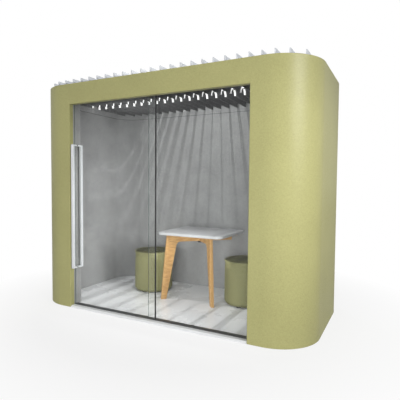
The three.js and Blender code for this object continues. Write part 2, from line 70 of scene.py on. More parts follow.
# Clouds are the slow drift of tone over a board or a coat, and flecks its finest grain.
surface_tone, given, told = new_group(
    "surface_tone", ("Vector", "Cloud Scale", "Fleck Scale", "Fleck Share"), ("Tone", "Cloud", "Fleck"))
cloud = add_node(surface_tone, "ShaderNodeTexNoise", {
    "Vector": given["Vector"], "Scale": given["Cloud Scale"], "Detail": 5.0, "Roughness": 0.6})
fleck = add_node(surface_tone, "ShaderNodeTexNoise", {
    "Vector": given["Vector"], "Scale": given["Fleck Scale"], "Detail": 2.0, "Roughness": 0.7})
shared = add_node(surface_tone, "ShaderNodeMix", {
    0: given["Fleck Share"], 2: cloud.outputs["Fac"], 3: fleck.outputs["Fac"]})
spread = add_node(surface_tone, "ShaderNodeMapRange", {
    "Value": shared.outputs[0], "From Min": 0.3, "From Max": 0.7})
surface_tone.links.new(spread.outputs["Result"], told["Tone"])
surface_tone.links.new(cloud.outputs["Fac"], told["Cloud"])
surface_tone.links.new(fleck.outputs["Fac"], told["Fleck"])


def mottled_finish(name, dark, pale, cloud=5.0, fleck=260.0, share=0.4, gloss=(0.35, 0.55),
                   bump=0.15, depth=0.0005, metal=0.0, stretch=(1, 1, 1)):
    finish = bpy.data.materials.new(name)
    finish.use_nodes = True
    tree = finish.node_tree
    skin = tree.nodes["Principled BSDF"]
    skin.inputs["Metallic"].default_value = metal
    where = add_node(tree, "ShaderNodeTexCoord")
    laid = add_node(tree, "ShaderNodeMapping", {
        "Vector": where.outputs["Object"], "Rotation": (0.5, 0.7, 0.3), "Scale": stretch})
    tone = add_node(tree, "ShaderNodeGroup", node_tree=surface_tone)
    tree.links.new(laid.outputs["Vector"], tone.inputs["Vector"])
    for label, value in (("Cloud Scale", cloud), ("Fleck Scale", fleck), ("Fleck Share", share)):
        tone.inputs[label].default_value = value
    colour = add_node(tree, "ShaderNodeMix", {
        0: tone.outputs["Tone"], 6: (*dark, 1), 7: (*pale, 1)}, data_type="RGBA")
    dull = add_node(tree, "ShaderNodeMapRange", {
        "Value": tone.outputs["Cloud"], "From Min": 0.3, "From Max": 0.7,
        "To Min": gloss[0], "To Max": gloss[1]})
    raised = add_node(tree, "ShaderNodeBump", {
        "Height": tone.outputs["Fleck"], "Strength": bump, "Distance": depth})
    tree.links.new(colour.outputs[2], skin.inputs["Base Color"])
    tree.links.new(dull.outputs["Result"], skin.inputs["Roughness"])
    tree.links.new(raised.outputs["Normal"], skin.inputs["Normal"])
    return finish


def dress(finish, *names):
    for name in names:
        nodes[name].material_slots[0].material = finish


floor_laminate = mottled_finish("floor_laminate", (0.8, 0.81, 0.825), (0.85, 0.86, 0.875), cloud=2.5,
                                fleck=420.0, share=0.3, gloss=(0.24, 0.32), bump=0.03)
dress(floor_laminate, "floor_deck")


# Behind the cloth and the felt, each wall is a core of pressed wood fibre, about 110 mm thick.
# The header beam over the doors is of the same board. Their sawn tops show from above.
core_board = mottled_finish("core_board", (0.16, 0.14, 0.12), (0.27, 0.245, 0.21), cloud=14.0,
                            fleck=330.0, share=0.65, gloss=(0.8, 0.95), bump=0.6, depth=0.001)
dress(core_board, "left_wall_core", "right_wall_core", "back_wall_core", "header_beam")


# The outside is clad in olive wool cloth drawn tight over a thin board, in a left and a right half.
# Each half runs from the doorway round both rounded corners to a sewn seam in the middle of the back.
def draw_plan(name, start, moves, height, turn_steps=28):
    bpy.ops.object.select_all(action="DESELECT")
    bpy.ops.mesh.primitive_plane_add(size=0.1)
    piece = bpy.context.object
    piece.name = piece.data.name = name
    bpy.ops.object.mode_set(mode="EDIT")
    bpy.ops.mesh.select_mode(type="VERT")
    bpy.ops.mesh.merge(type="CENTER")
    bpy.ops.transform.translate(value=start)
    for move in moves:
        if len(move) == 2:
            bpy.ops.mesh.extrude_region_move(TRANSFORM_OT_translate={"value": (*move, 0)})
        else:
            bpy.ops.mesh.spin(steps=turn_steps, angle=-move[2], center=(move[0], move[1], start[2]),
                              axis=(0, 0, 1))
    bpy.ops.mesh.select_all(action="SELECT")
    bpy.ops.mesh.extrude_region_move(TRANSFORM_OT_translate={"value": (0, 0, height)})
    bpy.ops.mesh.select_all(action="SELECT")
    bpy.ops.mesh.remove_doubles(threshold=0.0001)
    return piece


def pick(piece, kind, test):
    bpy.ops.mesh.select_mode(type=kind)
    bpy.ops.mesh.select_all(action="DESELECT")
    shape = bmesh.from_edit_mesh(piece.data)
    for part in {"EDGE": shape.edges, "FACE": shape.faces}[kind]:
        middle = sum((v.co for v in part.verts), Vector()) / len(part.verts)
        part.select_set(bool(test(middle, part)))
    bmesh.update_edit_mesh(piece.data)


def cut_level(*heights):
    for height in heights:
        bpy.ops.mesh.select_all(action="SELECT")
        bpy.ops.mesh.bisect(plane_co=(0, 0, height), plane_no=(0, 0, 1))


def turn_outward(piece, away):
    bpy.ops.mesh.select_all(action="SELECT")
    bpy.ops.mesh.normals_make_consistent(inside=False)
    shape = bmesh.from_edit_mesh(piece.data)
    if sum(face.normal.dot(away(face.calc_center_median())) * face.calc_area() for face in shape.faces) < 0:
        bpy.ops.mesh.flip_normals()


def shape_by(piece, kind, **settings):
    bpy.context.view_layer.objects.active = piece
    fitting = piece.modifiers.new(kind.title(), kind)
    for name, value in settings.items():
        setattr(fitting, name, value)
    bpy.ops.object.modifier_apply(modifier=fitting.name)


def take_up(piece):
    bpy.ops.object.select_all(action="DESELECT")
    bpy.context.view_layer.objects.active = piece
    piece.select_set(True)


def fit_piece(piece, body, slot, finishes, *replaced, angle=35):
    take_up(piece)
    bpy.ops.object.shade_smooth_by_angle(angle=math.radians(angle))
    piece.data.materials.clear()
    for finish in finishes:
        piece.data.materials.append(finish)
    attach(piece, body)
    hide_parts(*replaced)


woven_cloth, given, told = new_group("woven_cloth", ("Vector", "Thread"), ("Tone", "Height"))
threads = []
for along in ((1, 1, 0.09), (0.09, 0.09, 1)):
    finer = add_node(woven_cloth, "ShaderNodeVectorMath", {
        0: given["Vector"], "Scale": given["Thread"]}, operation="SCALE")
    drawn = add_node(woven_cloth, "ShaderNodeVectorMath", {
        0: finer.outputs["Vector"], 1: along}, operation="MULTIPLY")
    threads.append(add_node(woven_cloth, "ShaderNodeTexNoise", {
        "Vector": drawn.outputs["Vector"], "Scale": 1.0, "Detail": 1.0}))
crossed = add_node(woven_cloth, "ShaderNodeMath", {
    0: threads[0].outputs["Fac"], 1: threads[1].outputs["Fac"]}, operation="ADD")
melange = add_node(woven_cloth, "ShaderNodeTexNoise", {
    "Vector": given["Vector"], "Scale": 85.0, "Detail": 3.0, "Roughness": 0.75})
drift = add_node(woven_cloth, "ShaderNodeTexNoise", {
    "Vector": given["Vector"], "Scale": 3.0, "Detail": 2.0})
flecked = add_node(woven_cloth, "ShaderNodeMath", {
    0: melange.outputs["Fac"], 1: 0.8, 2: crossed.outputs["Value"]}, operation="MULTIPLY_ADD")
drifted = add_node(woven_cloth, "ShaderNodeMath", {
    0: drift.outputs["Fac"], 1: 0.4, 2: flecked.outputs["Value"]}, operation="MULTIPLY_ADD")
toned = add_node(woven_cloth, "ShaderNodeMapRange", {
    "Value": drifted.outputs["Value"], "From Min": 1.2, "From Max": 2.0})
woven_cloth.links.new(toned.outputs["Result"], told["Tone"])
woven_cloth.links.new(crossed.outputs["Value"], told["Height"])


def cloth_finish(name, dark, pale, thread, dull):
    finish = bpy.data.materials.new(name)
    finish.use_nodes = True
    tree = finish.node_tree
    skin = tree.nodes["Principled BSDF"]
    skin.inputs["Roughness"].default_value = dull
    skin.inputs["Specular IOR Level"].default_value = 0.35
    where = add_node(tree, "ShaderNodeTexCoord")
    weave = add_node(tree, "ShaderNodeGroup", node_tree=woven_cloth)
    tree.links.new(where.outputs["Object"], weave.inputs["Vector"])
    weave.inputs["Thread"].default_value = thread
    colour = add_node(tree, "ShaderNodeMix", {
        0: weave.outputs["Tone"], 6: (*dark, 1), 7: (*pale, 1)}, data_type="RGBA")
    raised = add_node(tree, "ShaderNodeBump", {
        "Height": weave.outputs["Height"], "Strength": 0.5, "Distance": 0.0008})
    tree.links.new(colour.outputs[2], skin.inputs["Base Color"])
    tree.links.new(raised.outputs["Normal"], skin.inputs["Normal"])
    return finish


olive_cloth = cloth_finish("olive_cloth", (0.315, 0.302, 0.128), (0.425, 0.412, 0.185), thread=620.0,
                           dull=0.37)
wall_x, wall_y, wall_top, corner = 1.445, 0.739, 2.25, 0.38
jamb, head, cloth_foot, cloth_board = 0.949, 2.048, 0.003, 0.018
fold, jamb_round, top_round, seam_round, tolerance = 0.048, 0.006, 0.004, 0.005, 0.001
for side, hand in ((-1, "left"), (1, "right")):
    straight = wall_y - corner
    turn_x = wall_x - corner
    cladding = draw_plan(f"{hand}_cloth_cladding", (side * jamb, -wall_y + fold, cloth_foot), (
        (0, -fold), (side * (turn_x - jamb), 0),
        (side * turn_x, -straight, side * math.pi / 2), (0, 2 * straight),
        (side * turn_x, straight, side * math.pi / 2), (-side * turn_x, 0)),
        wall_top - cloth_foot)
    cut_level(head)
    pick(cladding, "EDGE", lambda at, edge: abs(at.x - side * jamb) < tolerance and at.z < head
         and abs(at.y + wall_y) < tolerance and edge.calc_length() > 1)
    bpy.ops.mesh.bevel(offset=jamb_round, segments=4, profile=0.5)
    turn_outward(cladding, lambda at: Vector((at.x, at.y, 0)))
    bpy.ops.object.mode_set(mode="OBJECT")
    shape_by(cladding, "SOLIDIFY", thickness=cloth_board, offset=-1, use_even_offset=True)
    bpy.ops.object.mode_set(mode="EDIT")
    pick(cladding, "EDGE", lambda at, edge: at.z > wall_top - tolerance and len(edge.link_faces) == 2
         and any(abs(face.normal.z) < 0.5 for face in edge.link_faces)
         and any(face.normal.z > 0.5 for face in edge.link_faces))
    bpy.ops.mesh.bevel(offset=top_round, segments=3, profile=0.5)
    pick(cladding, "EDGE", lambda at, edge: abs(at.x) < tolerance and abs(at.y - wall_y) < tolerance
         and edge.calc_length() > 0.1)
    bpy.ops.mesh.bevel(offset=seam_round, segments=4, profile=0.5)
    bpy.ops.object.mode_set(mode="OBJECT")
    fit_piece(cladding, "pod", "green_fabric", [olive_cloth], f"{hand}_cladding", angle=10)


# The cloth over the doorway is wrapped round its own L-shaped board and butts against both halves.
# Its front face carries on flush from wall to wall, and its lower edge folds back to the doors.
header = draw_plan("header_cloth_cladding", (-jamb, -wall_y, head), ((2 * jamb, 0),),
                   wall_top - head)
pick(header, "EDGE", lambda at, edge: at.z < head + tolerance)
bpy.ops.mesh.extrude_region_move(TRANSFORM_OT_translate={"value": (0, fold, 0)})
pick(header, "EDGE", lambda at, edge: at.z < head + tolerance and abs(at.y + wall_y) < tolerance)
bpy.ops.mesh.bevel(offset=jamb_round, segments=4, profile=0.5)
turn_outward(header, lambda at: Vector((0, -1, -1)))
bpy.ops.object.mode_set(mode="OBJECT")
shape_by(header, "SOLIDIFY", thickness=cloth_board, offset=-1, use_even_offset=True)
bpy.ops.object.mode_set(mode="EDIT")
pick(header, "EDGE", lambda at, edge: at.z > wall_top - tolerance and abs(at.x) < 0.1)
bpy.ops.mesh.bevel(offset=top_round, segments=3, profile=0.5)
bpy.ops.object.mode_set(mode="OBJECT")
fit_piece(header, "pod", "green_fabric", [olive_cloth], "header_cladding", angle=10)


# Where the two halves meet at the back, a row of thread stands on each side of the seam.
# The thread is a shade lighter than the cloth, and its stitches are 9 mm long.
seam_thread = mottled_finish("seam_thread", (0.34, 0.34, 0.15), (0.5, 0.5, 0.24), fleck=900.0,
                             gloss=(0.5, 0.7))
stitch_length, stitch_pitch, stitch_count, seam_side = 0.009, 0.0121, 184, 0.014
for side, hand in ((-1, "left"), (1, "right")):
    bpy.ops.object.select_all(action="DESELECT")
    bpy.ops.mesh.primitive_cylinder_add(vertices=8, radius=0.0011, depth=stitch_length,
                                        location=(side * seam_side, wall_y + 0.0004, cloth_foot + 0.016))
    stitches = bpy.context.object
    stitches.name = f"{hand}_seam_stitches"
    bpy.ops.object.transform_apply(location=True)
    bpy.ops.object.mode_set(mode="EDIT")
    pick(stitches, "FACE", lambda at, face: abs(face.normal.z) > 0.9)
    bpy.ops.mesh.inset(thickness=0.0005)
    bpy.ops.transform.translate(value=(0, -0.0006, 0))
    bpy.ops.object.mode_set(mode="OBJECT")
    shape_by(stitches, "ARRAY", count=stitch_count, use_relative_offset=False, use_constant_offset=True,
             constant_offset_displace=(0, 0, stitch_pitch))
    fit_piece(stitches, "pod", "green_fabric", [seam_thread])


# Inside, the walls are lined with 22 mm of pressed grey felt that also turns into the doorway.
# A narrow cut runs round near the top, where the upper strip of felt is fixed under the roof boards; the
# faces in the cut are coloured near-black as painted shade.
grey_felt = mottled_finish("grey_felt", (0.27, 0.271, 0.272), (0.36, 0.361, 0.362), cloud=5.0, fleck=40.0,
                           share=0.3, gloss=(0.85, 0.98), bump=0.15, depth=0.001)
cut_felt = mottled_finish("cut_felt", (0.05, 0.05, 0.05), (0.09, 0.09, 0.09), fleck=110.0, gloss=(0.9, 1.0))
inner_x, inner_y, inner_corner, felt = 1.295, 0.589, 0.23, 0.022
felt_cut, cut_half, cut_depth = 2.093, 0.0017, 0.003
felt_start, reveal, felt_split, felt_joint = 0.0483, 0.1017, 1.005, 0.0003


def groove_felt(piece, facing):
    cut_level(felt_cut - cut_half, felt_cut + cut_half)
    turn_outward(piece, facing)
    bpy.ops.object.mode_set(mode="OBJECT")
    shape_by(piece, "SOLIDIFY", thickness=felt, offset=1, use_even_offset=True)
    bpy.ops.object.mode_set(mode="EDIT")
    pick(piece, "FACE", lambda at, face: abs(at.z - felt_cut) < tolerance
         and face.normal.dot(facing(at)) < 0 and abs(face.normal.z) < 0.1)
    bpy.ops.mesh.extrude_region_shrink_fatten(TRANSFORM_OT_shrink_fatten={"value": -cut_depth})
    bpy.ops.object.mode_set(mode="OBJECT")


def round_edges(piece, width, segments=2, angle=40):
    shape_by(piece, "BEVEL", width=width, segments=segments, limit_method="ANGLE",
             angle_limit=math.radians(angle))


def fit_felt(piece, replaced):
    fit_piece(piece, "pod", "grey_felt", [grey_felt, cut_felt], replaced)
    # Faces in the cut take the near-black painted shade.
    for face in piece.data.polygons:
        face.material_index = 1 if abs(face.center.z - felt_cut) < 1.2 * cut_half else 0


for side, hand in ((-1, "left"), (1, "right")):
    straight = inner_y - inner_corner
    turn_x = inner_x - inner_corner
    lining = draw_plan(f"{hand}_felt_lining", (side * jamb, -wall_y + felt_start, cloth_foot), (
        (0, reveal), (side * (turn_x - jamb), 0),
        (side * turn_x, -straight, side * math.pi / 2), (0, 2 * straight),
        (side * turn_x, straight, side * math.pi / 2), (-side * (turn_x - felt_split), 0)),
        wall_top - cloth_foot)
    groove_felt(lining, lambda at: Vector((at.x - side * 0.6, at.y * 1.4, 0)))
    round_edges(lining, 0.002, angle=50)
    fit_felt(lining, f"{hand}_lining")
lining = draw_plan("back_felt_lining", (-felt_split + felt_joint, inner_y, cloth_foot),
                   ((2 * felt_split - 2 * felt_joint, 0),), wall_top - cloth_foot)
groove_felt(lining, lambda at: Vector((0, 1, 0)))
fit_felt(lining, "back_lining")


# A white lacquered strip edges the floor at the doorway, with its front arris taken off.
# Behind it lies the extruded bottom track with two grooves, and overhead the top track.
white_lacquer = mottled_finish("white_lacquer", (0.70, 0.71, 0.72), (0.80, 0.81, 0.82), cloud=4.0,
                               fleck=500.0, share=0.25, gloss=(0.28, 0.42), bump=0.04)
drawn_alloy = mottled_finish("drawn_alloy", (0.15, 0.153, 0.158), (0.29, 0.296, 0.303), cloud=4.0,
                             fleck=160.0, share=0.7, gloss=(0.32, 0.5), bump=0.12, metal=0.75,
                             stretch=(0.05, 1, 1))
dress(white_lacquer, "threshold")
dress(drawn_alloy, "bottom_track", "top_track")


# The sliding pane hangs in front, and the fixed pane stands in the rear groove of the track.
# Each is 10 mm toughened glass, whose ground and polished edges look dark green-grey,
# because light runs along the inside of the sheet.
def clear_finish(name, tint, ior):
    finish = bpy.data.materials.new(name)
    finish.use_nodes = True
    tree = finish.node_tree
    skin = tree.nodes["Principled BSDF"]
    skin.inputs["Transmission Weight"].default_value = 1.0
    skin.inputs["IOR"].default_value = ior
    where = add_node(tree, "ShaderNodeTexCoord")
    tone = add_node(tree, "ShaderNodeGroup", node_tree=surface_tone)
    tree.links.new(where.outputs["Object"], tone.inputs["Vector"])
    for label, value in (("Cloud Scale", 5.0), ("Fleck Scale", 40.0), ("Fleck Share", 0.3)):
        tone.inputs[label].default_value = value
    colour = add_node(tree, "ShaderNodeMix", {
        0: tone.outputs["Tone"], 6: (*tint, 1), 7: (*[min(1, c * 1.02) for c in tint], 1)},
        data_type="RGBA")
    wiped = add_node(tree, "ShaderNodeMapRange", {
        "Value": tone.outputs["Cloud"], "From Min": 0.45, "From Max": 0.75, "To Min": 0.0, "To Max": 0.02})
    tree.links.new(colour.outputs[2], skin.inputs["Base Color"])
    tree.links.new(wiped.outputs["Result"], skin.inputs["Roughness"])
    # Daylight passes straight through a pane, so shadows and bounced light aren't held back by it.
    ray = add_node(tree, "ShaderNodeLightPath")
    free = add_node(tree, "ShaderNodeMath", {
        0: ray.outputs["Is Shadow Ray"], 1: ray.outputs["Is Diffuse Ray"]}, operation="MAXIMUM")
    gap = add_node(tree, "ShaderNodeBsdfTransparent", {"Color": (*tint, 1)})
    either = add_node(tree, "ShaderNodeMixShader", {
        0: free.outputs["Value"], 1: skin.outputs["BSDF"], 2: gap.outputs["BSDF"]})
    tree.links.new(either.outputs["Shader"], tree.nodes["Material Output"].inputs["Surface"])
    return finish


def add_block(name, low, high):
    bpy.ops.object.select_all(action="DESELECT")
    bpy.ops.mesh.primitive_cube_add(size=1, location=[(a + b) / 2 for a, b in zip(low, high)])
    piece = bpy.context.object
    piece.name = piece.data.name = name
    piece.scale = [b - a for a, b in zip(low, high)]
    bpy.ops.object.transform_apply(location=True, scale=True)
    return piece


clear_glass = clear_finish("clear_glass", (0.965, 0.975, 0.97), 1.3)
glass_edge = mottled_finish("polished_glass_edge", (0.05, 0.075, 0.068), (0.11, 0.15, 0.138), cloud=9.0,
                            gloss=(0.05, 0.14), bump=0.03)
for name, body in (("sliding_glass", "door"), ("fixed_glass", "pod")):
    pane = add_block(name.replace("glass", "pane"), *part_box(name))
    bpy.ops.object.mode_set(mode="EDIT")
    bpy.ops.mesh.select_all(action="SELECT")
    bpy.ops.mesh.bevel(offset=0.0012, segments=1)
    bpy.ops.object.mode_set(mode="OBJECT")
    fit_piece(pane, body, "clear_glass", [clear_glass, glass_edge], name)
    for face in pane.data.polygons:
        face.material_index = 0 if abs(face.normal.y) > 0.9 else 1


# A slim dark seal is pressed over the closing edge of the sliding pane and laps a little over both faces.
# It is an extruded rubber channel that stops just above the bottom track and under the hanger.
rubber = mottled_finish("rubber_seal", (0.018, 0.018, 0.019), (0.035, 0.036, 0.037), cloud=8.0, fleck=300.0,
                        gloss=(0.5, 0.7), bump=0.1)
low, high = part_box("sliding_glass")
slack, side_wall, web, lap, seal_foot, seal_head = 0.0002, 0.0016, 0.003, 0.005, 0.03, 2.098
seal = add_block("door_edge_seal", (high.x + slack, low.y - side_wall, seal_foot),
                 (high.x + web, high.y + side_wall, seal_head))
bpy.ops.object.mode_set(mode="EDIT")
for inside_y in (low.y - slack, high.y + slack):
    bpy.ops.mesh.select_all(action="SELECT")
    bpy.ops.mesh.bisect(plane_co=(0, inside_y, 0), plane_no=(0, 1, 0))
pick(seal, "FACE", lambda at, face: face.normal.x < -0.9 and (at.y < low.y or at.y > high.y))
bpy.ops.mesh.extrude_region_move(TRANSFORM_OT_translate={"value": (-lap, 0, 0)})
pick(seal, "EDGE", lambda at, edge: edge.calc_length() > 1 and at.x > high.x + 0.002
     and (at.y < low.y - tolerance or at.y > high.y + tolerance))
bpy.ops.mesh.bevel(offset=0.0012, segments=3)
bpy.ops.object.mode_set(mode="OBJECT")
fit_piece(seal, "door", "black_plastic", [rubber])


# Each face of the sliding pane has a square pull handle in white powder coat, bolted through the glass.
# Its bar turns in to the pane at both ends, and a thin dark gasket keeps each end off the glass.
powder_coat = mottled_finish("powder_coat", (0.62, 0.63, 0.65), (0.72, 0.73, 0.75), cloud=12.0, fleck=700.0,
                             share=0.6, gloss=(0.3, 0.45), bump=0.2, depth=0.0003)
bar, post, gasket, gasket_inset = 0.026, 0.014, 0.002, 0.001
for name, toward in (("outer_handle", 1), ("inner_handle", -1)):
    low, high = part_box(name)
    bar_low, bar_high = low.copy(), high.copy()
    if toward > 0:
        bar_high.y = low.y + bar
    else:
        bar_low.y = high.y - bar
    pull = add_block(name + "_pull", bar_low, bar_high)
    bpy.ops.object.mode_set(mode="EDIT")
    cut_level(low.z + post, high.z - post)
    pick(pull, "FACE", lambda at, face: face.normal.y * toward > 0.9
         and (at.z < low.z + post or at.z > high.z - post))
    bpy.ops.mesh.extrude_region_move(TRANSFORM_OT_translate={
        "value": (0, toward * (high.y - low.y - bar - gasket), 0)})
    bpy.ops.object.mode_set(mode="OBJECT")
    round_edges(pull, 0.0018, 3)
    fit_piece(pull, "door", "white_coat", [powder_coat], name)
    for end, at_z in (("lower", low.z), ("upper", high.z - post)):
        pane_y = high.y if toward > 0 else low.y
        pad = add_block(f"{name}_{end}_gasket",
                        (low.x + gasket_inset, min(pane_y, pane_y - toward * gasket), at_z + gasket_inset),
                        (high.x - gasket_inset, max(pane_y, pane_y - toward * gasket),
                         at_z + post - gasket_inset))
        round_edges(pad, 0.0006)
        fit_piece(pad, "door", "black_plastic", [rubber])


# The pane hangs on two clamped steel hangers whose nylon wheels roll along the top track.
# Turned steel keeps faint rings, and the nylon is off-white and slightly greasy.
turned_steel = mottled_finish("turned_steel", (0.42, 0.43, 0.44), (0.6, 0.61, 0.62), cloud=20.0,
                              fleck=240.0, share=0.7, gloss=(0.22, 0.4), bump=0.1, metal=1.0,
                              stretch=(1, 1, 0.1))
nylon = mottled_finish("nylon", (0.62, 0.61, 0.57), (0.72, 0.71, 0.67), cloud=30.0, gloss=(0.35, 0.5))
dress(turned_steel, "left_hanger", "right_hanger")
dress(nylon, "left_wheelset", "right_wheelset")


# The open roof is 27 boards on edge, 10 mm thick and about 100 mm apart.
# Their ends rest on the wall tops and stand up above them as ears.
# They are pale fibre board with a round notch for the light; below the wall tops they are coloured
# near-black as painted shade, for the shadow between the boards inside the roof.
pale_board = mottled_finish("pale_board", (0.55, 0.57, 0.6), (0.66, 0.685, 0.715), cloud=6.0, fleck=240.0,
                            share=0.55, gloss=(0.75, 0.92), bump=0.25, depth=0.0006)
tree = pale_board.node_tree
where = add_node(tree, "ShaderNodeTexCoord")
place = add_node(tree, "ShaderNodeSeparateXYZ", {"Vector": where.outputs["Object"]})
# Below the wall top the board takes a near-black grey: painted shade for the inside of the roof.
shaded_below_top = add_node(tree, "ShaderNodeMapRange", {
    "Value": place.outputs["Z"], "From Min": wall_top - tolerance, "From Max": wall_top + tolerance,
    "To Min": 1.0, "To Max": 0.0})
bare = tree.nodes["Principled BSDF"].inputs["Base Color"].links[0].from_socket
painted_shade_tone = add_node(tree, "ShaderNodeMix", {
    0: bare, 6: (0.07, 0.071, 0.073, 1), 7: (0.17, 0.172, 0.175, 1)}, data_type="RGBA")
either = add_node(tree, "ShaderNodeMix", {
    0: shaded_below_top.outputs["Result"], 6: bare, 7: painted_shade_tone.outputs[2]}, data_type="RGBA")
tree.links.new(either.outputs[2], tree.nodes["Principled BSDF"].inputs["Base Color"])


def ease_node(name, width, segments=2):
    piece = bpy.data.objects.new(name + "_eased", nodes[name].data.copy())
    bpy.context.scene.collection.objects.link(piece)
    take_up(piece)
    bpy.ops.object.mode_set(mode="EDIT")
    bpy.ops.mesh.select_all(action="SELECT")
    bpy.ops.mesh.remove_doubles(threshold=0.00005)
    bpy.ops.mesh.dissolve_limited(angle_limit=math.radians(1))
    bpy.ops.object.mode_set(mode="OBJECT")
    round_edges(piece, width, segments)
    return piece


boards = sorted(name for name in nodes if name.startswith("baffle_"))
for name in boards:
    board = ease_node(name, 0.001)
    fit_piece(board, "pod", "roof_board", [pale_board], name)


# One light runs across the roof through the notches: an alloy rail with an opal strip along its top.
# A white moulded collar lines each notch and lips over both faces of the board; its glow is painted light,
# an emission that stands in for the light of the strip.
opal_light = mottled_finish("opal_light", (0.82, 0.83, 0.85), (0.9, 0.91, 0.92), gloss=(0.3, 0.5))
collar_painted_glow = mottled_finish("collar_painted_glow", (0.82, 0.83, 0.85), (0.9, 0.91, 0.92), gloss=(0.4, 0.6))
# The strip's emission is its lamp; the collar's emission is a painted glow.
for finish, glow, strength in ((opal_light, (1.0, 0.985, 0.96, 1), 1.5),
                               (collar_painted_glow, (1.0, 0.99, 0.97, 1), 0.75)):
    skin = finish.node_tree.nodes["Principled BSDF"]
    skin.inputs["Emission Color"].default_value = glow
    skin.inputs["Emission Strength"].default_value = strength
dress(opal_light, "led_strip")
dress(drawn_alloy, "light_rail")
notch_y, spring_z, foot_z, notch_limit, weld = -0.039, 2.145, 2.1405, 2.2, 0.00005
bore, sleeve, lip, half_length, half_board = 0.0522, 0.0547, 0.068, 0.0075, 0.0053
notched = [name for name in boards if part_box(name)[0].z < notch_limit]
low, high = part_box(notched[0])
first_x = (low.x + high.x) / 2
bpy.ops.object.select_all(action="DESELECT")
bpy.ops.mesh.primitive_plane_add(size=0.01)
first = bpy.context.object
bpy.ops.object.mode_set(mode="EDIT")
bpy.ops.mesh.select_mode(type="VERT")
bpy.ops.mesh.merge(type="CENTER")
bpy.ops.transform.translate(value=(first_x - half_length, notch_y - lip, foot_z))
for along, radial in ((0, lip - bore), (2 * half_length, 0), (0, bore - lip),
                      (half_board - half_length, 0), (0, lip - sleeve), (-2 * half_board, 0),
                      (0, sleeve - lip), (half_board - half_length, 0)):
    bpy.ops.mesh.extrude_region_move(TRANSFORM_OT_translate={"value": (along, radial, 0)})
bpy.ops.mesh.select_all(action="SELECT")
bpy.ops.mesh.remove_doubles(threshold=weld)
bpy.ops.mesh.select_all(action="SELECT")
bpy.ops.mesh.extrude_region_move(TRANSFORM_OT_translate={"value": (0, 0, spring_z - foot_z)})
bpy.ops.mesh.spin(steps=20, angle=math.pi, center=(first_x, notch_y, spring_z), axis=(1, 0, 0))
bpy.ops.mesh.extrude_region_move(TRANSFORM_OT_translate={"value": (0, 0, foot_z - spring_z)})
bpy.ops.mesh.select_all(action="SELECT")
bpy.ops.mesh.remove_doubles(threshold=weld)
pick(first, "EDGE", lambda at, edge: edge.is_boundary)
bpy.ops.mesh.fill_holes(sides=0)
bpy.ops.mesh.select_all(action="SELECT")
bpy.ops.mesh.normals_make_consistent(inside=False)
bpy.ops.object.mode_set(mode="OBJECT")
round_edges(first, 0.0008, angle=50)
for name in notched:
    collar = first.copy()
    collar.data = first.data.copy()
    collar.name = collar.data.name = name.replace("baffle", "notch_collar")
    bpy.context.scene.collection.objects.link(collar)
    low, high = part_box(name)
    take_up(collar)
    bpy.ops.transform.translate(value=((low.x + high.x) / 2 - first_x, 0, 0))
    bpy.ops.object.transform_apply(location=True)
    fit_piece(collar, "pod", "opal_light", [collar_painted_glow])
bpy.data.objects.remove(first)


# The table top is a 28 mm board in white laminate, with rounded corners and a softened edge.
# It is screwed to the beams from below, and to the cleat on the back wall.
white_laminate = mottled_finish("white_laminate", (0.6, 0.605, 0.62), (0.67, 0.675, 0.69), cloud=3.0,
                                fleck=480.0, share=0.3, gloss=(0.16, 0.26), bump=0.04)
table_corner, table_edge = 0.07, 0.004
top = add_block("table_board", *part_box("table_top"))
bpy.ops.object.mode_set(mode="EDIT")
pick(top, "EDGE", lambda at, edge: abs(edge.verts[0].co.z - edge.verts[1].co.z) > 0.01)
bpy.ops.mesh.bevel(offset=table_corner, segments=14, profile=0.5)
pick(top, "FACE", lambda at, face: abs(face.normal.z) > 0.9)
bpy.ops.mesh.bevel(offset=table_edge, segments=3, profile=0.5)
bpy.ops.object.mode_set(mode="OBJECT")
fit_piece(top, "pod", "white_laminate", [white_laminate], "table_top")


# Two oak frames carry the table, each a tapered front leg with a beam that runs back corner to corner.
# A frame is sawn in one piece from a wide oak board, so its grain lies across the leg, along the beam.
oak_grain, given, told = new_group("oak_grain", ("Vector",), ("Tone", "Pore"))
figure = add_node(oak_grain, "ShaderNodeTexNoise", {
    "Vector": given["Vector"], "Scale": 1.0, "Detail": 5.0, "Roughness": 0.62, "Distortion": 0.5})
pores = add_node(oak_grain, "ShaderNodeTexNoise", {
    "Vector": given["Vector"], "Scale": 3.0, "Detail": 2.0, "Roughness": 0.7})
rings = add_node(oak_grain, "ShaderNodeTexWave", {
    "Vector": given["Vector"], "Scale": 0.55, "Distortion": 6.0, "Detail": 3.0})
mixed = add_node(oak_grain, "ShaderNodeMix", {
    0: 0.35, 2: figure.outputs["Fac"], 3: rings.outputs["Fac"]})
open_pore = add_node(oak_grain, "ShaderNodeMapRange", {
    "Value": pores.outputs["Fac"], "From Min": 0.56, "From Max": 0.7})
oak_grain.links.new(mixed.outputs[0], told["Tone"])
oak_grain.links.new(open_pore.outputs["Result"], told["Pore"])


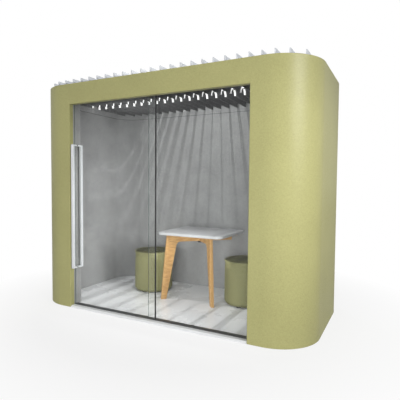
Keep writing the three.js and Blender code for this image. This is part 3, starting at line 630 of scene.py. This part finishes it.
def oak_finish(name, along, fineness=110.0, straightness=104.0):
    finish = bpy.data.materials.new(name)
    finish.use_nodes = True
    tree = finish.node_tree
    skin = tree.nodes["Principled BSDF"]
    where = add_node(tree, "ShaderNodeTexCoord")
    length = add_node(tree, "ShaderNodeVectorMath", {
        0: where.outputs["Object"], 1: along}, operation="DOT_PRODUCT")
    fibre = add_node(tree, "ShaderNodeVectorMath", {
        0: along, "Scale": length.outputs["Value"]}, operation="SCALE")
    drawn = add_node(tree, "ShaderNodeVectorMath", {
        0: fibre.outputs["Vector"], "Scale": straightness}, operation="SCALE")
    fine = add_node(tree, "ShaderNodeVectorMath", {
        0: where.outputs["Object"], "Scale": fineness}, operation="SCALE")
    across = add_node(tree, "ShaderNodeVectorMath", {
        0: fine.outputs["Vector"], 1: drawn.outputs["Vector"]}, operation="SUBTRACT")
    grain = add_node(tree, "ShaderNodeGroup", node_tree=oak_grain)
    tree.links.new(across.outputs["Vector"], grain.inputs["Vector"])
    colour = add_node(tree, "ShaderNodeMix", {
        0: grain.outputs["Tone"], 6: (0.40, 0.2, 0.062, 1), 7: (0.78, 0.49, 0.205, 1)}, data_type="RGBA")
    pored = add_node(tree, "ShaderNodeMix", {
        0: grain.outputs["Pore"], 6: colour.outputs[2], 7: (0.27, 0.135, 0.045, 1)}, data_type="RGBA")
    dull = add_node(tree, "ShaderNodeMapRange", {
        "Value": grain.outputs["Tone"], "To Min": 0.55, "To Max": 0.38})
    raised = add_node(tree, "ShaderNodeBump", {
        "Height": grain.outputs["Pore"], "Strength": 0.25, "Distance": -0.0004})
    tree.links.new(pored.outputs[2], skin.inputs["Base Color"])
    tree.links.new(dull.outputs["Result"], skin.inputs["Roughness"])
    tree.links.new(raised.outputs["Normal"], skin.inputs["Normal"])
    return finish


for hand, lean in (("left", 1), ("right", -1)):
    frame_piece = ease_node(f"{hand}_leg_frame", 0.003, 3)
    oak_board = oak_finish(f"oak_{hand}_board", (lean * math.sqrt(0.5), math.sqrt(0.5), 0))
    fit_piece(frame_piece, "pod", "oak", [oak_board], f"{hand}_leg_frame")
dress(oak_finish("oak_cleat", (1, 0, 0)), "table_cleat")


# A black steel block under the crossing holds both beams, with four screws driven up through it.
# The screws have a round head, bevelled at the rim, with a round socket sunk in it.
black_steel = mottled_finish("black_steel", (0.012, 0.012, 0.013), (0.03, 0.03, 0.031), cloud=25.0,
                             fleck=500.0, share=0.6, gloss=(0.4, 0.55), bump=0.2, depth=0.0003, metal=0.2)
dress(black_steel, "table_hub")
low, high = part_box("table_hub")
centre = (low + high) / 2
for number, (along, across) in enumerate(((0.3, 0), (0, 0.3), (-0.3, 0), (0, -0.3))):
    bpy.ops.object.select_all(action="DESELECT")
    bpy.ops.mesh.primitive_cylinder_add(vertices=20, radius=0.0045, depth=0.0018, location=(
        centre.x + along * (high.x - low.x), centre.y + across * (high.y - low.y), low.z - 0.0007))
    screw = bpy.context.object
    screw.name = f"hub_screw_{number + 1}"
    bpy.ops.object.transform_apply(location=True)
    bpy.ops.object.mode_set(mode="EDIT")
    pick(screw, "FACE", lambda at, face: face.normal.z < -0.9)
    bpy.ops.mesh.bevel(offset=0.0006, segments=2)
    pick(screw, "FACE", lambda at, face: face.normal.z < -0.9)
    bpy.ops.mesh.inset(thickness=0.0015)
    bpy.ops.mesh.extrude_region_move(TRANSFORM_OT_translate={"value": (0, 0, 0.0008)})
    bpy.ops.object.mode_set(mode="OBJECT")
    fit_piece(screw, "pod", "black_metal", [turned_steel])


# Each stool is a firm drum of foam over a plywood core, covered in olive cloth to match the walls.
# The seat cover is sewn to the side with piping just below the top, and the side closes at the back.
stool_dark, stool_pale, stool_thread = (0.185, 0.181, 0.081), (0.285, 0.279, 0.135), 520.0
stool_cloth = cloth_finish("stool_cloth", stool_dark, stool_pale, stool_thread, dull=0.7)
# The seat top takes a much darker olive than the side: painted shade on the top of the stool.
seat_cloth = cloth_finish("seat_cloth", (0.075, 0.076, 0.035), (0.14, 0.14, 0.068), stool_thread, dull=0.85)
low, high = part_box("left_stool_drum")
middle = (low + high) / 2
drum_round = (high.x - low.x) / 2
seam_drop, room_round, room_along, room_shift = 0.014, 0.006, 0.011, 0.0045
seam_z = high.z - seam_drop
bpy.ops.object.select_all(action="DESELECT")
bpy.ops.mesh.primitive_cylinder_add(vertices=96, radius=drum_round - room_round,
                                    depth=high.z - low.z - room_along,
                                    location=(middle.x, middle.y, middle.z - room_shift))
drum = bpy.context.object
drum.name = drum.data.name = "left_stool_cushion"
bpy.ops.object.transform_apply(location=True)
bpy.ops.object.mode_set(mode="EDIT")
pick(drum, "FACE", lambda at, face: face.normal.z > 0.9)
bpy.ops.mesh.bevel(offset=0.010, segments=4)
pick(drum, "FACE", lambda at, face: face.normal.z < -0.9)
bpy.ops.mesh.bevel(offset=0.016, segments=4)
bpy.ops.object.mode_set(mode="OBJECT")
drum.data.remesh_voxel_size = 0.008
bpy.ops.object.voxel_remesh()
held_height, pressure, last_moment, seat_swell, side_swell = 0.02, 4.0, 20, 0.010, 0.005
held = drum.vertex_groups.new(name="held")
held.add([v.index for v in drum.data.vertices if v.co.z < low.z + held_height], 1.0, "REPLACE")
before = [v.co.copy() for v in drum.data.vertices]
swell = drum.modifiers.new("Swell", "CLOTH")
swell.settings.vertex_group_mass = "held"
swell.settings.use_pressure = True
swell.settings.uniform_pressure_force = pressure
swell.settings.effector_weights.gravity = 0.0
for moment in range(1, last_moment + 1):
    bpy.context.scene.frame_set(moment)
bpy.ops.object.modifier_apply(modifier=swell.name)
bpy.context.scene.frame_set(1)
for vertex, was in zip(drum.data.vertices, before):
    moved = vertex.co - was
    limit = seat_swell if was.z > seam_z + 0.01 else side_swell
    if moved.length > limit:
        vertex.co = was + moved * (limit / moved.length)
drum.vertex_groups.clear()
shape_by(drum, "SUBSURF", levels=1, render_levels=1)
piping_pull, piping_band, closing_pull, closing_band, skin_room = 0.0035, 0.006, 0.0025, 0.004, 0.0005
for vertex in drum.data.vertices:
    out = Vector((vertex.co.x - middle.x, vertex.co.y - middle.y, 0))
    reach = out.length
    if reach > drum_round * 0.8:
        sewn = piping_pull * math.exp(-((vertex.co.z - seam_z) / piping_band) ** 2)
        if out.y > 0 and vertex.co.z < seam_z:
            sewn += closing_pull * math.exp(-(out.x / closing_band) ** 2)
        vertex.co -= out * (sewn / reach)
    vertex.co.z = min(max(vertex.co.z, low.z), high.z)
    if reach > drum_round - skin_room:
        vertex.co -= out * ((reach - drum_round + skin_room) / reach)
fit_piece(drum, "left_stool", "stool_fabric", [stool_cloth, seat_cloth], "left_stool_drum", angle=80)
# Faces above the piping take the darker seat colour, the painted shade.
for face in drum.data.polygons:
    face.material_index = 1 if face.center.z > seam_z else 0


# Piping covers the seam: a cord in the same cloth, sewn in all round, with a row of stitches under it.
# The second stool is made as the first, and stands on the other side of the table.
cord, cord_inset, sewing_inset, sewing_drop, sewing_length = 0.0032, 0.0045, 0.0022, 0.011, 0.006
bpy.ops.object.select_all(action="DESELECT")
bpy.ops.mesh.primitive_circle_add(vertices=10, radius=cord, rotation=(math.pi / 2, 0, 0),
                                  location=(middle.x + drum_round - cord_inset, middle.y, seam_z))
piping = bpy.context.object
piping.name = piping.data.name = "left_stool_piping"
bpy.ops.object.transform_apply(location=True, rotation=True)
bpy.ops.object.mode_set(mode="EDIT")
bpy.ops.mesh.select_mode(type="VERT")
bpy.ops.mesh.select_all(action="SELECT")
bpy.ops.mesh.spin(steps=120, angle=2 * math.pi, center=(middle.x, middle.y, seam_z), axis=(0, 0, 1))
bpy.ops.mesh.select_all(action="SELECT")
bpy.ops.mesh.remove_doubles(threshold=0.0002)
bpy.ops.mesh.normals_make_consistent(inside=False)
bpy.ops.object.mode_set(mode="OBJECT")
fit_piece(piping, "left_stool", "stool_fabric", [stool_cloth], angle=80)
bpy.ops.object.select_all(action="DESELECT")
bpy.ops.mesh.primitive_cylinder_add(
    vertices=6, radius=0.0008, depth=sewing_length, rotation=(math.pi / 2, 0, 0),
    location=(middle.x + drum_round - sewing_inset, middle.y, seam_z - sewing_drop))
sewing = bpy.context.object
sewing.name = sewing.data.name = "left_stool_stitches"
bpy.ops.object.transform_apply(location=True, rotation=True)
bpy.ops.object.mode_set(mode="EDIT")
pick(sewing, "FACE", lambda at, face: abs(face.normal.y) > 0.9)
bpy.ops.mesh.inset(thickness=0.0003)
bpy.ops.transform.translate(value=(-0.001, 0, 0))
bpy.ops.mesh.select_all(action="SELECT")
bpy.ops.mesh.spin(steps=160, dupli=True, angle=2 * math.pi, center=(middle.x, middle.y, seam_z),
                  axis=(0, 0, 1))
bpy.ops.object.mode_set(mode="OBJECT")
fit_piece(sewing, "left_stool", "stool_fabric", [seam_thread])
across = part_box("right_stool_drum")[0] - low
for piece in (drum, piping, sewing):
    twin = bpy.data.objects.new(piece.name.replace("left", "right"), piece.data.copy())
    bpy.context.scene.collection.objects.link(twin)
    take_up(twin)
    bpy.ops.transform.translate(value=across)
    bpy.ops.object.transform_apply(location=True)
    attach(twin, "right_stool")
    if piece is drum:
        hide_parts("right_stool_drum")


# Under each drum lies a thin board in the same cloth, on four black moulded glides.
# The glides are matt, and a little scuffed where they meet the floor.
scuffed_glide = mottled_finish("scuffed_glide", (0.018, 0.018, 0.018), (0.045, 0.045, 0.045), cloud=18.0,
                               fleck=420.0, share=0.5, gloss=(0.6, 0.8), bump=0.25, depth=0.0004)
tree = scuffed_glide.node_tree
where = add_node(tree, "ShaderNodeTexCoord")
place = add_node(tree, "ShaderNodeSeparateXYZ", {"Vector": where.outputs["Object"]})
board_foot, blur = 0.0323, 0.0002
covered = add_node(tree, "ShaderNodeMapRange", {
    "Value": place.outputs["Z"], "From Min": board_foot - blur, "From Max": board_foot + blur})
weave = add_node(tree, "ShaderNodeGroup", node_tree=woven_cloth)
tree.links.new(where.outputs["Object"], weave.inputs["Vector"])
weave.inputs["Thread"].default_value = stool_thread
cloth = add_node(tree, "ShaderNodeMix", {
    0: weave.outputs["Tone"], 6: (*stool_dark, 1), 7: (*stool_pale, 1)}, data_type="RGBA")
bare = tree.nodes["Principled BSDF"].inputs["Base Color"].links[0].from_socket
either = add_node(tree, "ShaderNodeMix", {
    0: covered.outputs["Result"], 6: bare, 7: cloth.outputs[2]}, data_type="RGBA")
tree.links.new(either.outputs[2], tree.nodes["Principled BSDF"].inputs["Base Color"])
dress(scuffed_glide, "left_stool_base", "right_stool_base")


# The pod stands on a wide pale studio floor that keeps its soft shadow and fades to white further off.
# A soft key light stands to the front right, and one small lamp above the open roof draws the streaks.
# Faint fill lamps outside, inside and along the roof are hidden from the camera and from mirror rays.
bpy.ops.object.select_all(action="DESELECT")
bpy.ops.mesh.primitive_plane_add(size=60, location=(0, 0, -0.001))
ground = bpy.context.object
ground.name = "studio_floor"
studio = bpy.data.materials.new("studio_floor")
studio.use_nodes = True
tree = studio.node_tree
skin = tree.nodes["Principled BSDF"]
skin.inputs["Base Color"].default_value = (0.8, 0.8, 0.8, 1)
skin.inputs["Roughness"].default_value = 0.9
where = add_node(tree, "ShaderNodeTexCoord")
far = add_node(tree, "ShaderNodeVectorMath", {0: where.outputs["Object"]}, operation="LENGTH")
shade_end, white_start, shade = 1.5, 2.6, 0.82
near = add_node(tree, "ShaderNodeMapRange", {
    "Value": far.outputs["Value"], "From Min": shade_end, "From Max": white_start,
    "To Min": shade, "To Max": 1.0})
ray = add_node(tree, "ShaderNodeLightPath")
seen = add_node(tree, "ShaderNodeMath", {
    0: ray.outputs["Is Camera Ray"], 1: ray.outputs["Is Transmission Ray"]}, operation="MAXIMUM")
shown = add_node(tree, "ShaderNodeMath", {
    0: seen.outputs["Value"], 1: near.outputs["Result"]}, operation="MULTIPLY")
white = add_node(tree, "ShaderNodeEmission", {"Color": (1, 1, 1, 1), "Strength": 1.0})
either = add_node(tree, "ShaderNodeMixShader", {
    0: shown.outputs["Value"], 1: skin.outputs["BSDF"], 2: white.outputs["Emission"]})
tree.links.new(either.outputs["Shader"], tree.nodes["Material Output"].inputs["Surface"])
ground.data.materials.append(studio)

world = bpy.data.worlds.new("studio")
bpy.context.scene.world = world
world.use_nodes = True
tree = world.node_tree
ray = add_node(tree, "ShaderNodeLightPath")
seen = add_node(tree, "ShaderNodeMath", {
    0: ray.outputs["Is Camera Ray"], 1: ray.outputs["Is Transmission Ray"]}, operation="MAXIMUM")
fill_level, mirror_level = 0.305, 0.5
mirrored = add_node(tree, "ShaderNodeMapRange", {
    "Value": ray.outputs["Is Glossy Ray"], "To Min": fill_level, "To Max": mirror_level})
level = add_node(tree, "ShaderNodeMapRange", {
    "Value": seen.outputs["Value"], "To Min": mirrored.outputs["Result"], "To Max": 1.0})
tree.links.new(level.outputs["Result"], tree.nodes["Background"].inputs["Strength"])
tree.nodes["Background"].inputs["Color"].default_value = (1, 1, 1, 1)


def add_lamp(name, kind, place, target, power, hidden=True, **settings):
    lamp = bpy.data.lights.new(name, kind)
    lamp.energy = power
    for label, value in settings.items():
        setattr(lamp, label, value)
    holder = bpy.data.objects.new(name, lamp)
    bpy.context.scene.collection.objects.link(holder)
    holder.location = place
    holder.rotation_euler = (Vector(target) - Vector(place)).to_track_quat("-Z", "Y").to_euler()
    holder.visible_camera = holder.visible_glossy = holder.visible_transmission = not hidden


add_lamp("side_light", "SPOT", (6.1, -2.7, 3.5), (1.68, -0.22, 1.36), 1270, hidden=False,
         spot_size=math.radians(27), spot_blend=0.45, shadow_soft_size=0.8)
add_lamp("front_light", "AREA", (-0.4, -7.6, 1.0), (0.0, 0.0, 1.0), 138, shape="SQUARE", size=2.0)
add_lamp("right_light", "AREA", (3.2, -6.8, 0.8), (0.0, 0.0, 0.8), 190, shape="SQUARE", size=2.0)
add_lamp("rear_light", "AREA", (-5.2, 5.8, 1.5), (0.0, 0.0, 1.1), 300, shape="SQUARE", size=2.5)
add_lamp("inner_light", "SPOT", (1.15, -0.48, 1.3), (-1.3, -0.25, 0.95), 172,
         spot_size=math.radians(68), spot_blend=1.0, shadow_soft_size=0.3)
add_lamp("floor_light", "AREA", (0.0, -0.5, 0.62), (0.0, -0.1, 0.0), 2.7,
         shape="RECTANGLE", size=1.9, size_y=0.15)
add_lamp("low_light", "AREA", (0.0, 0.02, 0.5), (0.0, 0.589, 0.28), 0.6,
         shape="RECTANGLE", size=0.9, size_y=0.1)
add_lamp("ceiling_light", "AREA", (0.0, -0.05, 2.1), (0.0, -0.05, 0.0), 1.8,
         shape="RECTANGLE", size=2.3, size_y=0.9)
add_lamp("roof_lamp", "SPOT", (0.06, -0.55, 4.0), (0.06, 0.9, 0.0), 128, hidden=False,
         spot_size=math.radians(64), spot_blend=0.4, shadow_soft_size=0.008)
add_lamp("ear_light", "SPOT", (7.0, -0.70, 4.6), (-2.5, -0.70, 2.28), 1150,
         spot_size=math.radians(17.8), spot_blend=1.0, shadow_soft_size=0.05)


# The camera stands at the photograph's place, a little to the right at chest height.
# Its lens, tilt and slight roll follow the pod's straight edges.
bpy.ops.object.camera_add(location=(2.005, -3.594, 1.284))
camera = bpy.context.object
camera.rotation_euler = (math.radians(87.357), 0, math.radians(27.416))
camera.rotation_euler.rotate_axis("Z", math.radians(0.445))
camera.data.sensor_width = 36
camera.data.lens = 34.88
bpy.context.scene.camera = camera
bpy.context.scene.view_settings.view_transform = "Standard"
